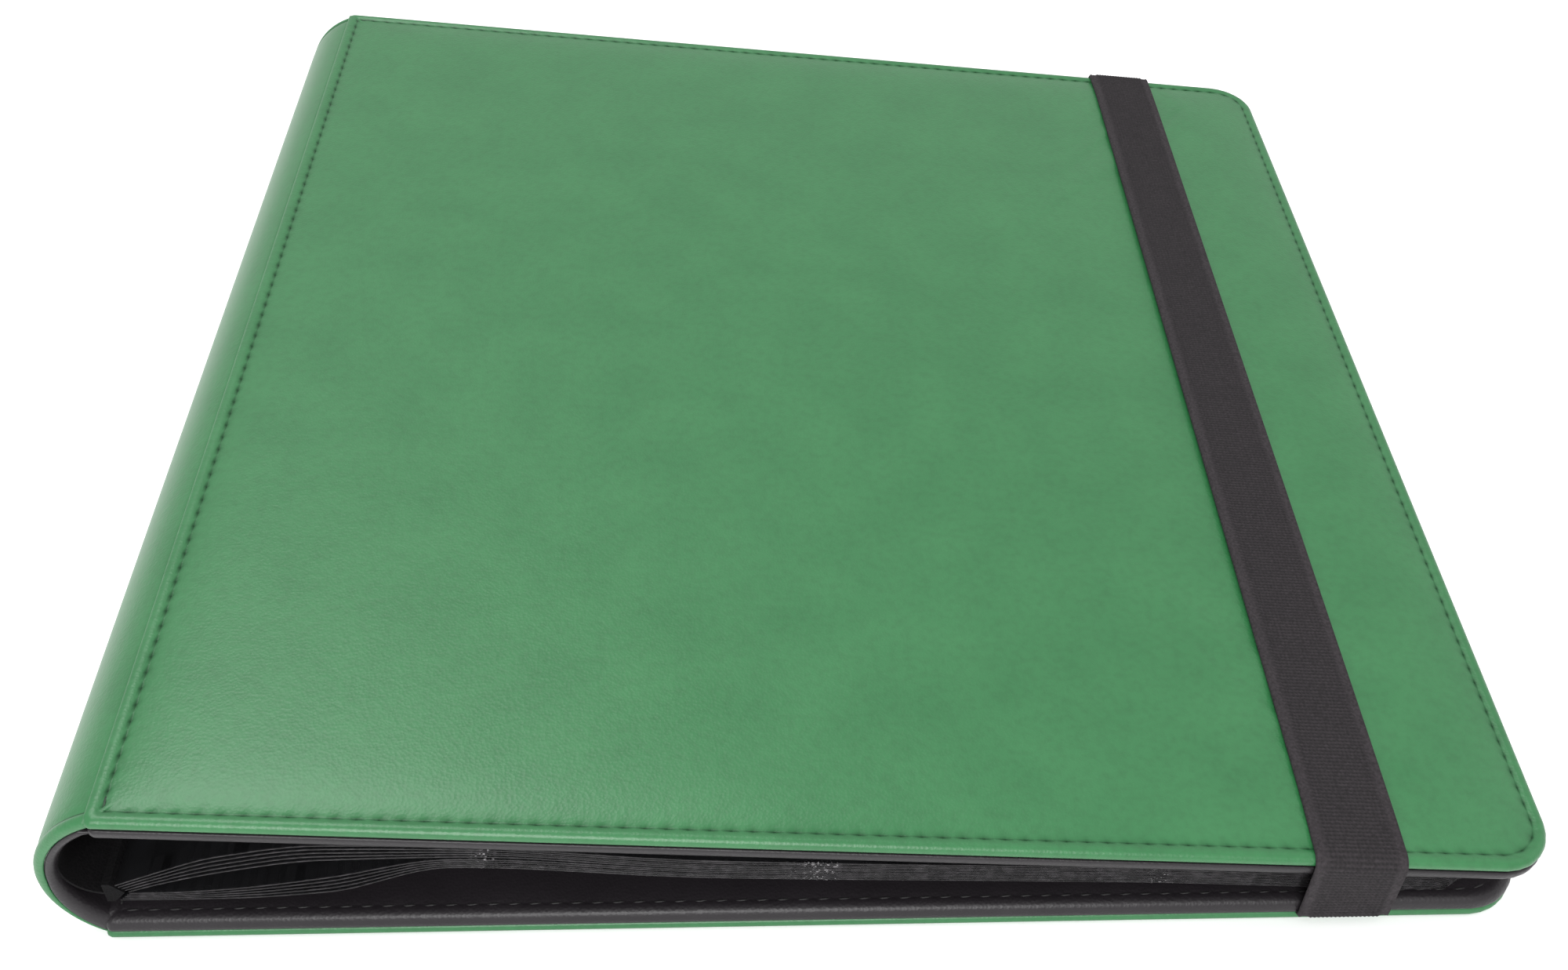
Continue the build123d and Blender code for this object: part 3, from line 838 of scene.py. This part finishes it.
def film(number, side, middle):
    """The film on one side of a leaf, as four strips that each open towards the spine."""
    name = "front_pockets" if side > 0 else "back_pockets"
    across, row_edges = pocket_lines()
    points, faces, welds = [], [], []
    for start, end in zip(across, across[1:]):
        reach = min(end + 2 * WELD, LEAF_FORE)
        strip = film_strip(FOLD_X + start + POCKET_SLIT, FOLD_X + reach, middle, side, row_edges)
        first = sum(len(p) for p in points)
        points.append(strip[0])
        faces += [[i + first for i in face] for face in strip[1]]
        welds.append(strip[2])
    piece = make_piece(f"leaf_{number:02d}_{name}_film", np.concatenate(points), faces, FILM_CLEAR)
    point_values(piece, "weld", np.concatenate(welds))
    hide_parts(f"leaf_{number:02d}_{name}")
    return piece


def build_leaf(number):
    node = f"leaf_{number:02d}_sheet"
    line_x, line_z = leaf_line(node)
    low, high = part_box(node)

    def middle(x):
        return np.interp(x, line_x, line_z)

    xs = leaf_stations(low.x, high.x)
    rim = 1 - FROST_AND_GLINT_EDGE / LEAF_HALF
    across = np.sort([*np.linspace(-1, 1, LEAF_COLUMNS), rim, -rim])
    points, faces = thin_grid(xs, across, middle, -SHEET / 2, SHEET / 2)
    sheet = make_piece(f"leaf_{number:02d}", points, faces, LEAF)
    at_rim = (np.abs(across) == 1).astype(float)
    point_values(sheet, "rim", np.tile(np.append(at_rim, at_rim), len(xs)))
    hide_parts(node)
    films = [film(number, side, middle) for side in (1, -1)]
    for piece in (sheet, *films):
        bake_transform(piece)


# ---- strap ----
def strap_rows():
    """Rows across the strap, evenly spaced along it at two to a rib, in the shared frame."""
    half = STRAP_THICKNESS / 2
    drop = HALF_LENGTH + half + STRAP_GAP
    exit_z = CAD_SEAM_DEPTH - half
    across = np.linspace(-1, 1, STRAP_ACROSS)
    u = STRAP_MIDDLE + across * STRAP_WIDTH / 2
    x = FOLD_X + u
    plane_u = (x - front_x) / math.cos(FRONT_TILT)
    top = front_z - (x - front_x) * math.tan(FRONT_TILT)
    sewn = HALF_LENGTH - STRAP_SEWN

    def surface(y):
        depth = skin_face(FRONT_CROWN, 1.0)(plane_u, np.full(len(u), y))
        rest = 1 - np.exp(-np.maximum(HALF_LENGTH - STITCH_INSET - abs(y), 0) / (9 * MM))
        return top + half + np.maximum(-depth, -0.1 * MM + 0.5 * MM * rest)

    flat = np.full(len(u), exit_z)
    rows = [(-y, flat) for y in np.linspace(sewn, drop - STRAP_FOOT, 8)]
    for angle in np.radians(np.arange(15, 91, 15)):
        y = STRAP_FOOT - drop - STRAP_FOOT * math.sin(angle)
        rows.append((y, flat + STRAP_FOOT * (1 - math.cos(angle))))
    shoulder = surface(STRAP_SHOULDER - drop) - STRAP_SHOULDER
    foot = exit_z + STRAP_FOOT
    for share in np.linspace(0, 1, 40)[1:]:
        rows.append((-drop, foot + (shoulder - foot) * share))
    for angle in np.radians(np.arange(10, 91, 10)):
        y = STRAP_SHOULDER * (1 - math.cos(angle)) - drop
        rows.append((y, shoulder + STRAP_SHOULDER * math.sin(angle)))
    for y in np.linspace(STRAP_SHOULDER - drop, 0, 160)[1:]:
        rows.append((y, surface(y)))
    ys = np.array([row[0] for row in rows])
    zs = np.array([row[1] for row in rows])
    ys = np.concatenate([ys, -ys[-2::-1]])
    zs = np.concatenate([zs, zs[-2::-1]])
    middle = zs[:, len(u) // 2]
    length = np.concatenate([[0], np.cumsum(np.hypot(np.diff(ys), np.diff(middle)))])
    count = int(length[-1] / (RIB_PITCH / 2))
    even = np.linspace(0, length[-1], count)
    y = np.interp(even, length, ys)
    z = np.stack([np.interp(even, length, zs[:, k]) for k in range(len(u))], -1)
    return np.stack([np.broadcast_to(x, z.shape), np.broadcast_to(y[:, None], z.shape), z], -1)



def build_strap():
    rows = strap_rows()
    count, columns = rows.shape[:2]
    along = np.gradient(rows, axis=0)
    across = np.gradient(rows, axis=1)
    out = np.cross(along, across)
    out /= np.linalg.norm(out, axis=2, keepdims=True)
    if out[count // 2, columns // 2, 2] < 0:
        out = -out
    place = np.abs(np.linspace(-1, 1, columns)) * STRAP_WIDTH / 2
    to_side = STRAP_WIDTH / 2 - place
    field = np.clip((to_side - SELVEDGE) / (0.5 * MM), 0, 1)
    round_edge = np.sqrt(np.clip(1 - np.clip(1 - to_side / STRAP_EDGE_RADIUS, 0, 1) ** 2, 0.02, 1))
    ridge = np.where(np.arange(count) % 2 == 0, 1.0, -1.0)[:, None]
    warp = np.where(np.arange(columns) % 2 == 0, 0.6, -0.6)[None, :]
    dip = SELVEDGE_DIP * (1 - field) * (to_side > SELVEDGE_ROLL)
    relief = RIB_HEIGHT * (ridge + warp) * field / 1.6 - dip
    half = STRAP_THICKNESS / 2 * round_edge
    top = rows + out * (half + relief)[..., None]
    under = rows - out * np.broadcast_to(half, relief.shape)[..., None]
    points = np.concatenate([top, under[:, ::-1]], 1)
    piece = make_piece("elastic_band", points, band_faces(count, 2 * columns, True), ELASTIC)
    # painted shade: darkest in the troughs between the ribs and between the warp yarns
    gap = np.where(ridge < 0, 0.7, 0.0) * np.where(warp < 0, 1.3, 0.8) * field
    point_values(piece, "gap", np.concatenate([gap, np.zeros_like(gap)], 1))
    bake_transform(piece)
    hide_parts("elastic_strap")


# ---- what the CAD model already shows right ----
def finish_cad_nodes():
    finishes = {
        "foam_pad": FOAM,
        "lining_pad": FOAM,
        "board": BOARD,
        "spine_pad": FOAM,
        "binding_core": CLOTH,
        "binding_flap": CLOTH,
    }
    for name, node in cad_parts.items():
        for ending, material in finishes.items():
            if name.endswith(ending):
                node.data.materials.clear()
                node.data.materials.append(material)


# ---- floor, light and camera ----
FLOOR_SIZE = 6.0
LIGHTS = (
    # name, place, size, power: all face the album's middle
    ("key", (-0.33, 0.42, 1.42), 0.6, 9),
    ("front", (-0.1, -1.1, 0.85), 0.6, 14),
    ("side", (1.3, 0.2, 1.1), 1.2, 2),
)
WORLD_STRENGTH = 0.92


def build_floor():
    half = FLOOR_SIZE / 2
    corners = [(-half, -half, 0), (half, -half, 0), (half, half, 0), (-half, half, 0)]
    floor = make_piece("floor", corners, [[0, 1, 2, 3]], pale_floor(), smooth=False)


def build_lights():
    middle = (cad_low + cad_high) / 2
    for name, place, size, power in LIGHTS:
        light = bpy.data.lights.new(name, "AREA")
        light.size = size
        light.energy = power
        lamp = bpy.data.objects.new(name, light)
        lamp.location = place
        lamp.rotation_euler = (middle - Vector(place)).to_track_quat("-Z", "Y").to_euler()
        bpy.context.scene.collection.objects.link(lamp)
    world = bpy.data.worlds.new("studio")
    world.use_nodes = True
    world.node_tree.nodes["Background"].inputs["Color"].default_value = (1, 1, 1, 1)
    world.node_tree.nodes["Background"].inputs["Strength"].default_value = WORLD_STRENGTH
    bpy.context.scene.world = world
    bpy.context.scene.view_settings.view_transform = "Standard"


def build_camera():
    lens = bpy.data.cameras.new("camera")
    lens.lens = CAMERA_LENS
    lens.shift_x = CAMERA_SHIFT
    camera = bpy.data.objects.new("camera", lens)
    camera.location = CAMERA_PLACE
    camera.rotation_euler = CAMERA_TURN
    bpy.context.scene.collection.objects.link(camera)
    bpy.context.scene.camera = camera


build_camera()
build_floor()
build_lights()
build_cover(back_cover, BACK_CROWN, 0.0)
build_cover(front_cover, FRONT_CROWN, 1.0)
build_spine()
for leaf_number in range(1, LEAF_COUNT + 1):
    build_leaf(leaf_number)
build_strap()
finish_cad_nodes()
